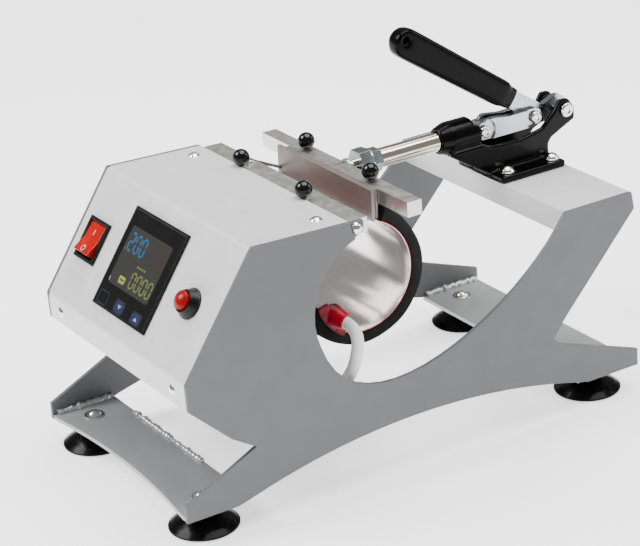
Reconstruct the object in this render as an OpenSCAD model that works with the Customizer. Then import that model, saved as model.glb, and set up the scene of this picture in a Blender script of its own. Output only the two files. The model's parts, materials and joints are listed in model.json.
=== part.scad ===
// Mug heat press: two sheet-steel side plates, a control box, a C-shaped mug heater
// and a push-pull toggle clamp that draws the heater closed around a mug.
// Frame: +X is the width, -Y is the control panel, +Y is the clamp, +Z is up.
// The origin is on the ground, under the middle of the feet.

/* [Body] */
// outside width over the side plates
body_w = 200; // [160:1:260]
// side plate thickness
plate_t = 3; // [2:0.5:5]
// length of the side plates along Y
body_l = 370; // [340:1:400]
// height of the feet under the side plates
bed_z = 17.5; // [12:0.5:25]
// height of the clamp table above the plate bottoms
table_z = 133; // [125:1:140]
// sheet thickness of the control box cover
cover_t = 1.5; // [1:0.1:2]

/* [Heater] */
// inside radius of the closed heater
heater_r = 38.9; // [35:0.1:42]
// length of the heater along X
heater_l = 124; // [100:1:130]
// height of the heater axis above the plate bottoms
heater_z = 113; // [110:0.5:120]
// heater axis along Y
heater_y = -16.7; // [-22:0.1:-15]
// radius over the foam wrap
foam_r = 49.4; // [44:0.1:50]

/* [Clamp] */
// plunger radius
plunger_r = 7; // [6:0.1:8]
// height of the plunger axis above the plate bottoms
plunger_z = 167; // [165:0.5:170]
// crank length from the body pivot to the link pin
crank_l = 22.7; // [22:0.1:24]
// link length between its two pins
link_l = 44.4; // [43:0.1:46]

/* [Controls] */
// controller front size
ctrl_w = 72; // [48:1:72]
// controller centre across the panel
ctrl_x = -3; // [-10:0.5:0]
// rocker switch centre across the panel
rocker_x = -72.9; // [-80:0.1:-70]
// push button centre across the panel
button_x = 65.3; // [60:0.1:75]

/* [Hidden] */
$fn = 48;
e = 0.01;
half_w = body_w / 2;
half_l = body_l / 2;
in_w = half_w - plate_t;
panel_lo = [-176.8, 95.3];
panel_hi = [-120.7, 175];
top_hi = [-47.5, 172.3];
lip_lo = [-176.4, 77];
panel_a = atan2(panel_hi[1] - panel_lo[1], panel_hi[0] - panel_lo[0]);
// heater opening in the side plates
cut_c = [-27.4, 111];
cut_r = 51.8;
// underside arch of the side plates
arch_c = [-2.9, -466.9];
arch_r = 488;
// the clamp overhangs the side plates, so their middle lies in front of the origin
mid_y = -8.7;
foot_x = 77.5;
foot_yf = -162;
foot_yr = 156;
// heater flanges
rear_y = -0.6;
flange_t = 2.4;
bar_y0 = 1.2;
bar_y1 = 12.7;
bar_z0 = 160.5;
bar_z1 = 171;
fbar_y0 = -47;
fbar_y1 = -31.5;
pin_x = 41;
// direction of the hanger rod
rod_dir = [-14, 38, -20.4];
// clamp pivots, in Y and Z above the plate bottoms
bolt_x = [-19, 19];
bolt_y = [134.7, 174.3];
piv_a = [193, 169.3];
piv_c = [126, plunger_z];
dist_ac = norm(piv_a - piv_c);
ang_ac = atan2(piv_a[1] - piv_c[1], piv_a[0] - piv_c[0]);
cos_c = (dist_ac * dist_ac + link_l * link_l - crank_l * crank_l) / (2 * dist_ac * link_l);
ang_cb = ang_ac - acos(min(1, cos_c));
piv_b = piv_c + link_l * [cos(ang_cb), sin(ang_cb)];
grip_0 = [147, 188.4];
grip_1 = [55.5, 252.5];
grip_a = atan2(grip_1[1] - grip_0[1], grip_0[0] - grip_1[0]);
sleeve_end = grip_0 + [10 * cos(grip_a), -10 * sin(grip_a)];

// node to draw

// ---- helpers ----

function unit(v) = v / norm(v);
function left_n(a, b) = let(d = unit(b - a)) [-d[1], d[0]];
function mitre(p, i, t) =
  i == 0 ? p[0] + t * left_n(p[0], p[1]) :
  i == len(p) - 1 ? p[i] + t * left_n(p[i - 1], p[i]) :
  let(a = left_n(p[i - 1], p[i]), b = left_n(p[i], p[i + 1]), m = unit(a + b))
  p[i] + m * t / (m * a);
function bez(p, t) =
  pow(1 - t, 3) * p[0] + 3 * t * pow(1 - t, 2) * p[1] + 3 * t * t * (1 - t) * p[2]
  + pow(t, 3) * p[3];
function polar(r, a) = [r * cos(a), r * sin(a)];

// places a shape drawn about the side plates' own middle and bottoms
module up() {
  translate([0, mid_y, bed_z]) children();
}

// extrudes a profile drawn in Y and Z from x0 to x1
module along_x(x0, x1) {
  translate([x0, 0, 0]) rotate([90, 0, 90]) linear_extrude(x1 - x0) children();
}

// cylinder along X
module rod_x(r, x0, x1, y, z) {
  translate([x0, y, z]) rotate([0, 90, 0]) cylinder(r = r, h = x1 - x0);
}

// cylinder along Y
module rod_y(r, y0, y1, x, z) {
  translate([x, y1, z]) rotate([90, 0, 0]) cylinder(r = r, h = y1 - y0);
}

// box from one corner to the other
module box(a, b) {
  translate(a) cube(b - a);
}

// folded sheet along a line of points, with the metal on the left of the line
module folded(p, t) {
  polygon(concat(p, [for (i = [len(p) - 1:-1:0]) mitre(p, i, t)]));
}

// drawing plane of the sloped panel: x across, y up the slope, z outwards
module on_panel() {
  up() translate([0, panel_lo[0], panel_lo[1]]) rotate([panel_a, 0, 0]) children();
}

// low dome head standing on the XY plane
module dome(r, h) {
  sr = (r * r + h * h) / (2 * h);
  intersection() {
    translate([0, 0, h - sr]) sphere(r = sr);
    cylinder(r = r + 1, h = h + 1);
  }
}

// pie slice that keeps the angles a0 to a1
module wedge(r, a0, a1) {
  n = ceil((a1 - a0) / 40);
  polygon(concat([[0, 0]], [for (i = [0:n]) polar(r, a0 + (a1 - a0) * i / n)]));
}

// curved band about the heater axis
module band(r0, r1, a0, a1, l) {
  translate([0, heater_y, heater_z]) along_x(-l / 2, l / 2) intersection() {
    difference() {
      circle(r = r1, $fn = 96);
      circle(r = r0, $fn = 96);
    }
    wedge(r1 * 1.4, a0, a1);
  }
}

// ---- side plates and cross plates ----

cut_curve = concat(
  [for (i = [0:10]) cut_c + polar(cut_r, 108.5 + (200 - 108.5) * i / 10)],
  [for (i = [1:19]) bez([cut_c + polar(cut_r, 200), [-52, 8.7], [82.5, 71.2],
    [125, table_z]], i / 20)]
);
arch_a0 = asin((140.7 - arch_c[0]) / arch_r);
arch_a1 = asin((-146.4 - arch_c[0]) / arch_r);
arch_curve = [for (i = [0:24]) let(a = arch_a0 + (arch_a1 - arch_a0) * i / 24)
  [arch_c[0] + arch_r * sin(a), max(0, arch_c[1] + arch_r * cos(a))]];
plate_outline = concat(
  [[-half_l, 0], [-half_l, 12], [-130, 38], [-147.3, 49], lip_lo, panel_lo, panel_hi,
   [top_hi[0], top_hi[1]], [-46.4, 166]],
  cut_curve,
  [[125, table_z], [182.4, table_z], [184.4, 120.6], [121, 54.2], [111.4, 42.1],
   [116.4, 37.1], [half_l, 12.5], [half_l, 0]],
  arch_curve
);

module side_plate(s) {
  tab_x0 = s > 0 ? 70 : -in_w;
  tab_x1 = s > 0 ? in_w : -70;
  slope = (top_hi[1] - panel_hi[1]) / (top_hi[0] - panel_hi[0]);
  up() difference() {
    union() {
      along_x(s > 0 ? in_w : -half_w, s > 0 ? half_w : -in_w) polygon(plate_outline);
      // screw tabs under the cover top and behind the lip
      along_x(tab_x0, tab_x1) polygon([for (q = [[-72, 0], [-52, 0], [-52, -2], [-72, -2]])
        [q[0], panel_hi[1] + slope * (q[0] - panel_hi[0]) - cover_t - 0.05 + q[1]]]);
      along_x(tab_x0, tab_x1) polygon([[-172.7, 79], [-174.7, 79], [-175, 93], [-173, 93]]);
      // table tab
      box([s > 0 ? 85 : -in_w, 135, table_z - 6], [s > 0 ? in_w : -85, 170, table_z - 3.05]);
    }
    translate([s * 81, -61.5, 150]) cylinder(r = 1.7, h = 40);
    rod_y(1.7, -180, -165, s * 80, 86);
    if (s < 0) {
      box([-half_w - 1, -139, 84], [-in_w + 1, -111.5, 104]);
    }
  }
}

module left_side_plate() {
  color([0.60, 0.61, 0.62]) side_plate(-1);
}

module right_side_plate() {
  color([0.60, 0.61, 0.62]) side_plate(1);
}

module front_cross_plate() {
  color([0.70, 0.71, 0.72]) up() difference() {
    box([-in_w, -184.5, 0], [in_w, -136, 3]);
    // shallow curve of the front edge
    translate([0, -184.5 - 590, -1]) cylinder(r = 597, h = 5, $fn = 240);
    for (s = [-1, 1]) translate([s * foot_x, foot_yf, -1]) cylinder(r = 3.2, h = 5);
  }
}

module rear_cross_plate() {
  color([0.70, 0.71, 0.72]) up() difference() {
    box([-in_w, 133, 0], [in_w, 184.5, 3]);
    for (s = [-1, 1]) translate([s * foot_x, foot_yr, -1]) cylinder(r = 3.2, h = 5);
  }
}

module clamp_table() {
  color([0.75, 0.75, 0.74]) up() difference() {
    along_x(-in_w + 0.05, in_w - 0.05) folded([[184.2, table_z - 14], [182.4, table_z],
      [125, table_z], [124, table_z - 16.5]], 3);
    for (x = bolt_x, y = bolt_y) translate([x, y, table_z - 8]) cylinder(r = 2.7, h = 12);
  }
}

// ---- control box ----

module box_cover() {
  color([0.82, 0.82, 0.81]) difference() {
    up() along_x(-in_w + 0.05, in_w - 0.05) folded([top_hi + [0, -14], top_hi,
      panel_hi, panel_lo, lip_lo], cover_t);
    on_panel() {
      translate([ctrl_x - 34, 48.7 - 34, -6]) cube([68, 68, 12]);
      translate([rocker_x - 12.3, 48 - 13.8, -6]) cube([24.6, 27.6, 12]);
      translate([button_x, 46.8, -6]) cylinder(r = 6.2, h = 12);
    }
    up() for (s = [-1, 1]) {
      translate([s * 81, -61.5, 150]) cylinder(r = 2, h = 40);
      rod_y(2, -185, -165, s * 80, 86);
      // corner notch for the bar bracket
      box([s > 0 ? 94.7 : -98, -67, 150], [s > 0 ? 98 : -94.7, -46, 170.78]);
    }
  }
}

module box_floor() {
  color([0.62, 0.63, 0.64]) up() along_x(-in_w + 0.05, in_w - 0.05)
    folded([[-172.5, 79], [-146, 53], [-82, 53]], -1.2);
}

module box_rear_wall() {
  color([0.62, 0.63, 0.64]) up() difference() {
    along_x(-in_w + 0.05, in_w - 0.05) folded([[-82.3, 53.05], [-82.3, 128], [-53, 155.5]], 1.2);
    rod_y(6.2, -90, -75, 20, 66);
  }
}

module screw_set() {
  slope = atan2(top_hi[1] - panel_hi[1], top_hi[0] - panel_hi[0]);
  top_y = panel_hi[1] + tan(slope) * (-61.5 - panel_hi[0]);
  up() for (s = [-1, 1]) {
    translate([s * 81, -61.5, top_y]) rotate([slope, 0, 0]) union() {
      translate([0, 0, 0.02]) dome(4.2, 2);
      translate([0, 0, -7]) cylinder(r = 1.6, h = 7.5);
    }
    translate([s * 80, -176.6, 86]) rotate([90, 0, 0]) union() {
      dome(4.2, 2);
      translate([0, 0, -7]) cylinder(r = 1.6, h = 7.5);
    }
  }
}

module cover_screws() {
  color([0.78, 0.78, 0.76]) screw_set();
}

// ---- feet ----

module foot(x, y) {
  translate([x, y + mid_y, 0]) difference() {
    rotate_extrude($fn = 64) polygon([[0, 2.4], [15, 1.8], [20, 0], [23.5, 0], [24, 0.5], [24, 1.6],
      [20, 4.5], [14.5, 8], [11, 10.5], [11, 12.6], [15, 13.4], [15.5, 14.4], [15.5, 17],
      [14.5, bed_z - 0.02], [0, bed_z - 0.02]]);
    translate([0, 0, 7]) cylinder(r = 3.1, h = 12);
  }
}

module foot_front_left() {
  color([0.06, 0.06, 0.06]) foot(-foot_x, foot_yf);
}

module foot_front_right() {
  color([0.06, 0.06, 0.06]) foot(foot_x, foot_yf);
}

module foot_rear_left() {
  color([0.06, 0.06, 0.06]) foot(-foot_x, foot_yr);
}

module foot_rear_right() {
  color([0.06, 0.06, 0.06]) foot(foot_x, foot_yr);
}

module foot_bolts() {
  color([0.75, 0.75, 0.73]) up() for (x = [-foot_x, foot_x], y = [foot_yf, foot_yr])
    translate([x, y, 0]) {
      translate([0, 0, -10]) cylinder(r = 3, h = 13.5);
      translate([0, 0, 3.02]) cylinder(r = 7, h = 1);
      translate([0, 0, 4]) dome(5.2, 3.2);
    }
}

// ---- front bar and front flange ----

// the hanger rod's line, from the left ball down and outward to the flange's end
module along_rod() {
  translate([-pin_x, -46, bar_z1 + 6.8])
    rotate([0, acos(rod_dir[2] / norm(rod_dir)), atan2(rod_dir[1], rod_dir[0])]) children();
}

module front_bar() {
  color([0.72, 0.72, 0.68]) up() difference() {
    union() {
      box([-in_w + 2.1, fbar_y0, bar_z0], [in_w - 2.1, fbar_y1, bar_z1]);
      // pins under the balls
      for (s = [-1, 1]) translate([s * pin_x, -44.8, bar_z1 - 1]) cylinder(r = 1.8, h = 3.4);
    }
    // groove for the hanger rod across the rear edge
    along_rod() cylinder(r = 1.4, h = 40);
    for (s = [-1, 1])
      rod_x(2.55, s > 0 ? in_w - 22 : -in_w, s > 0 ? in_w : -in_w + 22, -41.2, 165.7);
  }
}

module bar_brackets() {
  color([0.72, 0.76, 0.80]) up() for (s = [-1, 1]) difference() {
    along_x(s > 0 ? in_w - 2 : -in_w + 0.05, s > 0 ? in_w - 0.05 : -in_w + 2)
      polygon([[-66, 158], [-48, 158], [-41, 160.4], [-36.4, 163.4], [-35.6, 166],
        [-35.6, 170.5], [-46.5, 170.5], [-50, 167.5], [-66, 165]]);
    rod_x(2.6, s * in_w - 4, s * in_w + 4, -41.2, 165.7);
  }
}

module bar_bolts() {
  color([0.80, 0.80, 0.78]) up() for (s = [-1, 1])
    translate([s * in_w, -41.2, 165.7]) rotate([0, s * 90, 0]) {
      dome(4.4, 3.4);
      translate([0, 0, -20]) cylinder(r = 2.5, h = 20.5);
    }
}

module front_flange() {
  color([0.58, 0.54, 0.50]) up() difference() {
    along_x(-58, 63)
      polygon([[-7.9, 151.4], [-7.9 + flange_t, 150.7], [-4.6, 173], [-4.6 - flange_t, 173]]);
    along_rod() translate([0, 0, 30]) cylinder(r = 1.55, h = 30);
  }
}

module hanger_rod() {
  color([0.45, 0.45, 0.45]) up() along_rod() translate([0, 0, -1]) cylinder(r = 1.2, h = 51, $fn = 24);
}

module front_balls() {
  color([0.03, 0.03, 0.03]) up() for (s = [-1, 1]) difference() {
    translate([s * pin_x, -46, bar_z1 + 7.1]) sphere(r = 6.1);
    if (s < 0) along_rod() translate([0, 0, -1.1]) cylinder(r = 1.22, h = 20, $fn = 24);
    translate([s * pin_x, -44.8, bar_z1 - 1]) cylinder(r = 1.83, h = 3.45);
  }
}

// ---- heater ----

module heater_liner_front() {
  color([0.80, 0.76, 0.75]) up() band(heater_r, heater_r + 1, 77.3, 269.4, heater_l);
}

module heater_mat_front() {
  color([0.80, 0.12, 0.18]) up() band(heater_r + 1.02, heater_r + 2.6, 100, 269.4, heater_l);
}

module heater_foam_front() {
  color([0.08, 0.08, 0.08]) up() band(heater_r + 2.62, foam_r, 122, 269.4, heater_l - 2);
}

module heater_liner_rear() {
  color([0.80, 0.76, 0.75]) up() band(heater_r, heater_r + 1, -89.4, 65.1, heater_l);
}

module heater_mat_rear() {
  color([0.80, 0.12, 0.18]) up() band(heater_r + 1.02, heater_r + 2.6, -89.4, 62.7, heater_l);
}

module heater_foam_rear() {
  color([0.08, 0.08, 0.08]) up() band(heater_r + 2.62, foam_r, -89.4, 63.8, heater_l - 2);
}

module rear_flange() {
  color([0.66, 0.63, 0.60]) up() {
    box([-57, rear_y, 149.5], [57, bar_y0 - 0.02, 170.5]);
    for (s = [-1, 1]) difference() {
      rod_y(2.9, bar_y0 - 1, bar_y1 - 1.5, s * pin_x, 165.7);
      translate([s * pin_x, (bar_y0 + bar_y1) / 2, 150]) cylinder(r = 1.6, h = 30, $fn = 24);
    }
  }
}

// ---- rear bar, pins and plunger ----

module rear_bar() {
  color([0.74, 0.74, 0.72]) up() difference() {
    box([-93, bar_y0, bar_z0], [93, bar_y1, bar_z1]);
    for (s = [-1, 1]) {
      rod_y(2.95, bar_y0 - 1, bar_y1 - 1.2, s * pin_x, 165.7);
      translate([s * pin_x, (bar_y0 + bar_y1) / 2, 150]) cylinder(r = 1.6, h = 30, $fn = 24);
    }
    rod_y(4.05, bar_y0 + 2, bar_y1 + 1, 0, plunger_z);
  }
}

module rear_pins() {
  color([0.60, 0.60, 0.58]) up() for (s = [-1, 1])
    translate([s * pin_x, (bar_y0 + bar_y1) / 2, bar_z0 - 2.5]) cylinder(r = 1.5, h = 18, $fn = 24);
}

module rear_balls() {
  color([0.03, 0.03, 0.03]) up() for (s = [-1, 1]) difference() {
    translate([s * pin_x, (bar_y0 + bar_y1) / 2, bar_z1 + 6.2]) sphere(r = 6.1);
    translate([s * pin_x, (bar_y0 + bar_y1) / 2, bar_z1 - 1]) cylinder(r = 1.55, h = 6.1, $fn = 24);
  }
}

module plunger() {
  color([0.85, 0.82, 0.74]) up() difference() {
    union() {
      rod_y(plunger_r, 39, 111, 0, plunger_z);
      rod_y(4, bar_y0 + 2.2, 40, 0, plunger_z);
      // flat tang that holds the link pin
      box([-2.8, 110, plunger_z - 6], [2.8, 133, plunger_z + 6]);
    }
    rod_x(3.02, -5, 5, piv_c[0], piv_c[1]);
  }
}

module plunger_nuts() {
  color([0.80, 0.84, 0.86]) up() difference() {
    union() {
      rod_y(6.5, bar_y1 + 0.02, bar_y1 + 1.6, 0, plunger_z);
      translate([0, 30, plunger_z]) rotate([90, 0, 0]) cylinder(r = 11.2, h = 9, $fn = 6);
      rod_y(9.6, 29.9, 31.5, 0, plunger_z);
      translate([0, 38.98, plunger_z]) rotate([90, 0, 0]) cylinder(r = 9, h = 7.5, $fn = 6);
    }
    rod_y(4.05, bar_y1 - 1, 40, 0, plunger_z);
  }
}

// ---- toggle clamp ----

module cheek_profile() {
  polygon([[93, table_z + 27], [93, table_z + 24], [102, table_z + 18], [124, table_z + 4],
    [177.2, table_z + 4], [177, table_z + 14], [180, table_z + 18], [200.8, table_z + 27.5],
    [201.2, table_z + 36], [196, table_z + 43.8], [188.5, table_z + 44.5], [184, table_z + 38], [172, table_z + 27], [152, table_z + 23], [128, table_z + 24],
    [120, table_z + 27]]);
}

module clamp_body() {
  color([0.05, 0.05, 0.05]) up() difference() {
    union() {
      // foot with four bolt ears
      box([-28, 125, table_z + 0.02], [28, 180.5, table_z + 5]);
      // cheeks
      for (s = [-1, 1]) along_x(s > 0 ? 9.2 : -13.2, s > 0 ? 13.2 : -9.2) difference() {
        cheek_profile();
        translate(piv_a) circle(r = 4.04);
      }
      // web between the cheeks under the nose
      along_x(-9.5, 9.5) polygon([[94, table_z + 28], [94, table_z + 23.5], [102, table_z + 18],
        [116, table_z + 9], [116, table_z + 28]]);
      // nose
      rod_y(12.2, 97, 120, 0, plunger_z);
      translate([0, 97.1, plunger_z]) rotate([90, 0, 0]) cylinder(r1 = 12.2, r2 = 9.2, h = 9);
    }
    // plunger bore
    rod_y(plunger_r + 0.06, 80, 120 + e, 0, plunger_z);
    // room for the tang and links inside the rear of the nose
    box([-9.2, 116, table_z + 6], [9.2, 122, plunger_z + 30]);
    for (x = bolt_x, y = bolt_y) translate([x, y, table_z - 1]) cylinder(r = 2.7, h = 8);
  }
}

module clamp_bolts() {
  color([0.80, 0.80, 0.78]) up() for (x = bolt_x, y = bolt_y) translate([x, y, table_z]) {
    translate([0, 0, 5.02]) cylinder(r = 5.9, h = 0.8);
    translate([0, 0, 5.8]) dome(5.5, 3.6);
    translate([0, 0, -9]) cylinder(r = 2.5, h = 15.5);
    translate([0, 0, -7.2]) cylinder(r = 4.6, h = 4, $fn = 6);
  }
}

module body_pin() {
  color([0.82, 0.82, 0.80]) up() {
    rod_x(4, -13.3, 13.3, piv_a[0], piv_a[1]);
    rod_x(5.2, 13.25, 15.2, piv_a[0], piv_a[1]);
    rod_x(5.2, -15.2, -13.25, piv_a[0], piv_a[1]);
  }
}

module handle_plate() {
  color([0.72, 0.73, 0.74]) up() difference() {
    along_x(-2.5, 2.5) difference() {
      union() {
        translate(piv_a) circle(r = 8.5);
        translate(piv_b) circle(r = 7.5);
        // blade from the crank to the grip
        polygon([piv_a + polar(8.5, 130), [180.5, 173.2], [171.5, 179.5], sleeve_end + polar(6.5, 90 - grip_a),
          grip_1 + polar(6.5, 90 - grip_a) + polar(20, -grip_a),
          grip_1 + polar(6.5, -90 - grip_a) + polar(20, -grip_a),
          sleeve_end + polar(6.5, -90 - grip_a), piv_b + polar(7.5, 210),
          piv_b + polar(7.5, -90), piv_a + polar(8.5, -93)]);
      }
      translate(piv_a) circle(r = 4.05);
      translate(piv_b) circle(r = 3.02);
    }
  }
}

module handle_grip() {
  color([0.04, 0.04, 0.04]) up() difference() {
    translate([0, grip_0[0], grip_0[1]]) rotate([-grip_a, 0, 0]) difference() {
      intersection() {
        union() {
          along_x(-7, 7) polygon([[-98, -11], [0, -9.8], [0, 9.8], [-98, 11]]);
          rod_x(11, -7, 7, -98, 0);
          box([-5.5, -1, -8.3], [5.5, 10, 8.3]);
        }
        box([-8, -110, -12], [8, 20, 12]);
      }
      // hang hole
      rod_x(3, -9, 9, -101.5, 1.5);
      // slot that takes the handle blade
      box([-2.55, -93, -6.55], [2.55, 18, 6.55]);
    }
  }
}

module link_pin() {
  color([0.82, 0.82, 0.80]) up() {
    rod_x(3, -8.3, 8.3, piv_b[0], piv_b[1]);
  }
}

module link_plates() {
  color([0.76, 0.78, 0.80]) up() for (s = [-1, 1]) difference() {
    union() {
      // eye at the link pin
      along_x(s > 0 ? 2.9 : -5.9, s > 0 ? 5.9 : -2.9) difference() {
        link_profile();
        translate(piv_b) circle(r = 3.06);
        translate(piv_c) circle(r = 3.06);
      }
      // raised middle
      along_x(s > 0 ? 5.8 : -7.6, s > 0 ? 7.6 : -5.8) difference() {
        link_profile();
        translate(piv_b) circle(r = 9);
        translate(piv_c) circle(r = 9);
      }
    }
  }
}

module link_profile() {
  n = left_n(piv_c, piv_b);
  union() {
    translate(piv_b) circle(r = 6.6);
    translate(piv_c) circle(r = 6.6);
    polygon([piv_c + 6.6 * n, piv_c - 6.6 * n, piv_b - 6.6 * n, piv_b + 6.6 * n]);
    // crowned top edge
    polygon([[127, 173], [129, 175], [134, 175.6], [146, 173.8], [158, 172.8], [168, 173],
      [168, 164], [127, 164]]);
  }
}

module plunger_pin() {
  // two stubs, one in each link plate, that stop short of the tang
  color([0.82, 0.82, 0.80]) up() for (s = [-1, 1])
    rod_x(3, s > 0 ? 2.9 : -8.3, s > 0 ? 8.3 : -2.9, piv_c[0], piv_c[1]);
}

// ---- heater lead ----

lead_r = 4.3;
lead_a = [[63.5, -42.4, 92.6], [76, -37.7, 89], [90, -37.5, 90], [89, -43.8, 69.8]];
lead_b = [[89, -43.8, 69.8], [88.4, -47.6, 57.7], [84, -58, 44], [66, -66, 44]];
lead_c = [[66, -66, 44], [50, -73, 44], [20, -50, 66], [20, -88, 66]];
lead_path = concat(
  [for (i = [0:6]) bez(lead_a, i / 6)],
  [for (i = [1:6]) bez(lead_b, i / 6)],
  [for (i = [1:9]) bez(lead_c, i / 9)]
);

module tube(path, r, n) {
  m = len(path);
  rings = [for (i = [0:m - 1])
    let(
      t = unit(path[min(i + 1, m - 1)] - path[max(i - 1, 0)]),
      u = unit(cross(t, [0.3, 0.9, 0.3])),
      v = cross(t, u)
    )
    for (j = [0:n - 1]) path[i] + r * (cos(360 * j / n) * u + sin(360 * j / n) * v)
  ];
  sides = [for (i = [0:m - 2], j = [0:n - 1])
    let(a = i * n + j, b = i * n + (j + 1) % n)
    for (f = [[a, b, b + n], [a, b + n, a + n]]) f
  ];
  ends = concat([[for (j = [n - 1:-1:0]) j]], [[for (j = [0:n - 1]) (m - 1) * n + j]]);
  polyhedron(points = rings, faces = concat(sides, ends), convexity = 4);
}

module heater_lead() {
  color([0.92, 0.92, 0.90]) up() tube(lead_path, lead_r, 12);
}

module lead_boot() {
  d = unit(lead_a[1] - lead_a[0]);
  tilt = acos(d[0]);
  roll = atan2(d[2], d[1]);
  color([0.80, 0.12, 0.20]) up() difference() {
    union() {
      // pad on the rim of the heater
      translate([0, heater_y, heater_z]) along_x(heater_l / 2 + 0.02, heater_l / 2 + 4)
        intersection() {
          difference() {
            circle(r = 41.4);
            circle(r = 32.2);
          }
          wedge(60, 196, 240);
        }
      // tapered sleeve
      translate(lead_a[0]) rotate([roll, 0, 0]) rotate([0, 0, tilt]) rotate([0, 90, 0])
        translate([0, 0, -6]) cylinder(r1 = 9.4, r2 = 5.9, h = 16);
    }
    box([heater_l / 2 - 12, -80, 60], [heater_l / 2 + 0.02, 0, 130]);
    translate(lead_a[0]) rotate([roll, 0, 0]) rotate([0, 0, tilt]) rotate([0, 90, 0])
      translate([0, 0, -30]) cylinder(r = lead_r + 0.1, h = 60);
  }
}

module lead_gland() {
  color([0.05, 0.05, 0.05]) up() difference() {
    union() {
      rod_y(9, -82.28, -77.5, 20, 66);
      rod_y(6.1, -87, -82.1, 20, 66);
    }
    rod_y(4.9, -90, -70, 20, 66);
  }
}

// ---- controls ----

module controller_bezel() {
  color([0.03, 0.03, 0.03]) on_panel() translate([ctrl_x, 48.7, 0]) difference() {
    translate([-ctrl_w / 2, -ctrl_w / 2, 0.02]) cube([ctrl_w, ctrl_w, 2]);
    translate([-ctrl_w / 2 + 2, -ctrl_w / 2 + 2, 0.8]) cube([ctrl_w - 4, ctrl_w - 4, 4]);
    translate([-30, -30, -1]) cube([60, 60, 4]);
  }
}

module controller_face() {
  color([0.02, 0.02, 0.03]) on_panel() translate([ctrl_x, 48.7, 0])
    translate([-ctrl_w / 2 + 2.1, -ctrl_w / 2 + 2.1, 0.82]) cube([ctrl_w - 4.2, ctrl_w - 4.2, 1]);
}

module controller_body() {
  color([0.05, 0.05, 0.05]) on_panel() translate([ctrl_x, 48.7, 0]) difference() {
    translate([-33, -33, -46]) cube([66, 66, 46]);
    translate([-30.5, -30.5, -44]) cube([61, 61, 50]);
  }
}

module switch_housing() {
  color([0.03, 0.03, 0.03]) on_panel() translate([rocker_x, 48, 0]) difference() {
    union() {
      translate([-13.6, -15.3, 0.02]) cube([27.2, 30.6, 2.2]);
      translate([-12.2, -13.7, -20]) cube([24.4, 27.4, 20.1]);
    }
    translate([-10.4, -12.7, -9]) cube([20.8, 25.4, 20]);
  }
}

module switch_rocker() {
  color([0.85, 0.06, 0.04]) on_panel() translate([rocker_x, 48, 0]) {
    // two faces that meet in a shallow V, lower end proud
    rotate([90, 0, 90]) translate([0, 0, -10.1]) linear_extrude(20.2)
      polygon([[-11.6, -2.5], [0, -5], [11.9, -2.5], [12.3, 1.6], [0, 2.5], [-10.6, 6.6]]);
  }
}

module button_housing() {
  color([0.03, 0.03, 0.03]) on_panel() translate([button_x, 46.8, 0]) difference() {
    union() {
      translate([0, 0, 0.02]) cylinder(r = 10.8, h = 1.2);
      translate([0, 0, 1.2]) cylinder(r1 = 10.4, r2 = 7.8, h = 5.6);
      translate([0, 0, -16]) cylinder(r = 6, h = 16.1);
      translate([0, 0, -5.6]) cylinder(r = 9.5, h = 4, $fn = 6);
    }
    translate([0, 0, 1.6]) cylinder(r = 6.7, h = 10);
    translate([0, 0, -9]) cylinder(r = 3.2, h = 20);
  }
}

module button_cap() {
  color([0.85, 0.05, 0.04]) on_panel() translate([button_x, 46.8, 0]) {
    translate([0, 0, 5.2]) cylinder(r = 6.4, h = 4);
    translate([0, 0, 9.1]) dome(6.4, 2.6);
    translate([0, 0, -4.5]) cylinder(r = 2.9, h = 9.8);
  }
}

module power_inlet() {
  color([0.04, 0.04, 0.04]) up() {
    difference() {
      union() {
        box([-half_w - 2, -141.5, 81.5], [-half_w - 0.02, -109, 106.5]);
        box([-half_w - 0.1, -138.8, 84.2], [-half_w + 18, -111.7, 103.8]);
      }
      box([-half_w - 3, -136.2, 86.6], [-half_w + 15, -114.3, 101.4]);
    }
    for (p = [[-132, 90], [-125.2, 94.5], [-118.5, 90]])
      box([-half_w + 1, p[0] - 1, p[1]], [-half_w + 15.5, p[0] + 1, p[1] + 4]);
  }
}

module relay_board() {
  color([0.10, 0.35, 0.16]) up() {
    box([40, -130, 58.2], [85, -95, 59.8]);
    box([45, -120, 59.7], [64, -104, 75]);
    box([68, -126, 59.7], [80, -99, 69]);
    for (x = [43, 82], y = [-127, -98]) translate([x, y, 53.02]) cylinder(r = 2.5, h = 5.3);
  }
}

left_side_plate();
right_side_plate();
front_cross_plate();
rear_cross_plate();
clamp_table();
box_cover();
box_floor();
box_rear_wall();
cover_screws();
foot_front_left();
foot_front_right();
foot_rear_left();
foot_rear_right();
foot_bolts();
front_bar();
bar_brackets();
bar_bolts();
front_flange();
hanger_rod();
front_balls();
heater_liner_front();
heater_mat_front();
heater_foam_front();
lead_boot();
heater_lead();
lead_gland();
heater_liner_rear();
heater_mat_rear();
heater_foam_rear();
rear_flange();
rear_bar();
rear_pins();
rear_balls();
plunger();
plunger_nuts();
clamp_body();
clamp_bolts();
body_pin();
handle_plate();
handle_grip();
link_pin();
link_plates();
plunger_pin();
controller_bezel();
controller_face();
controller_body();
switch_housing();
switch_rocker();
button_housing();
button_cap();
power_inlet();
relay_board();
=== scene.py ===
"""Mug heat press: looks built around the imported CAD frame."""
import bpy
import bmesh
import json
import math
from mathutils import Matrix, Vector, noise
from mathutils.bvhtree import BVHTree


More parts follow.
